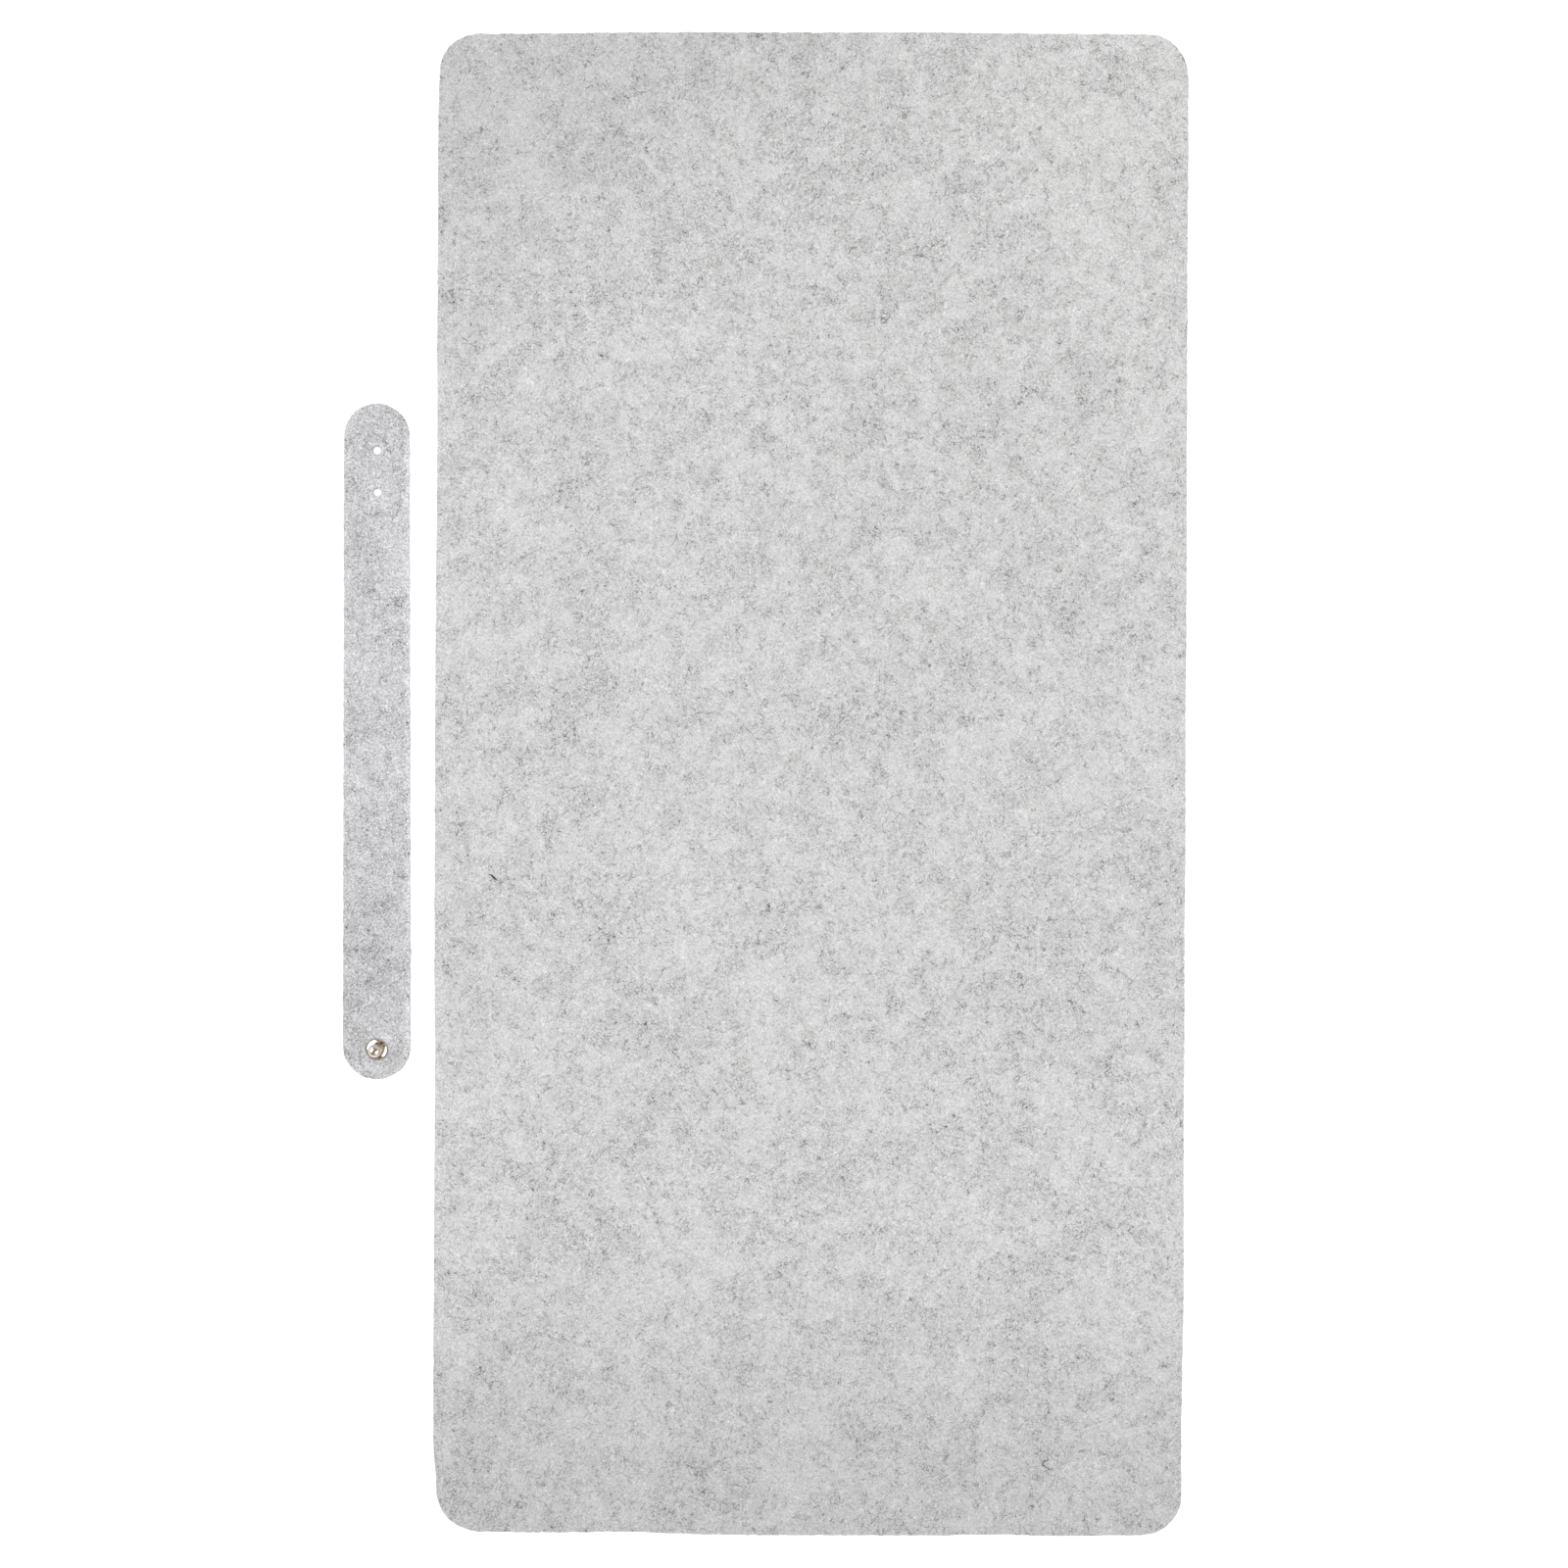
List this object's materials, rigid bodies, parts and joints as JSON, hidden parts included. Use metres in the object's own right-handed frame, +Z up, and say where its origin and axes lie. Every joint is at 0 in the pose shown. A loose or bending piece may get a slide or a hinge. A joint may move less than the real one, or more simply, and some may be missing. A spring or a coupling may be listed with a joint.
{
  "type": "desk mat",
  "caption": "Long rectangular felt desk mat with rounded corners, and a loose felt closing strap with punched button holes and a ball-headed metal stud.",
  "frame": {"origin": "centre of the mat's underside", "axes": "+Y along the mat's length, +X across it away from the strap, +Z up, out of the mat's working face"},
  "size_m": [0.4488, 0.8, 0.0139],
  "materials": {
    "mat_felt": "pale heather-grey pressed felt, matt, with fine darker fibres",
    "strap_felt": "heather-grey pressed felt, matt, a little pebblier than the mat",
    "stud_nickel": "polished nickel plate",
    "screw_nickel": "nickel plate, turned face, a little duller than the stud"
  },
  "bodies": {
    "mat": {"mat_sheet": "mat_felt"},
    "strap": {"strap_band": "strap_felt"},
    "screw": {"stud_screw": "screw_nickel"},
    "stud": {"ball_stud": "stud_nickel"}
  },
  "joints": [
    {"name": "strap_lift", "type": "slide", "parent": "mat", "child": "strap", "axis": [0, 0, 1], "range_m": [0, 0.15]},
    {"name": "screw_turn", "type": "hinge", "parent": "strap", "child": "screw", "pos_m": [-0.23105, -0.1421, 0], "axis": [0, 0, -1], "range_deg": [0, 2880]},
    {"name": "stud_rise", "type": "slide", "parent": "strap", "child": "stud", "axis": [0, 0, 1], "range_m": [0, 0.004]}
  ],
  "couplings": [
    {"joint": "screw_turn", "follows": "stud_rise", "rad_per_m": 12566}
  ]
}
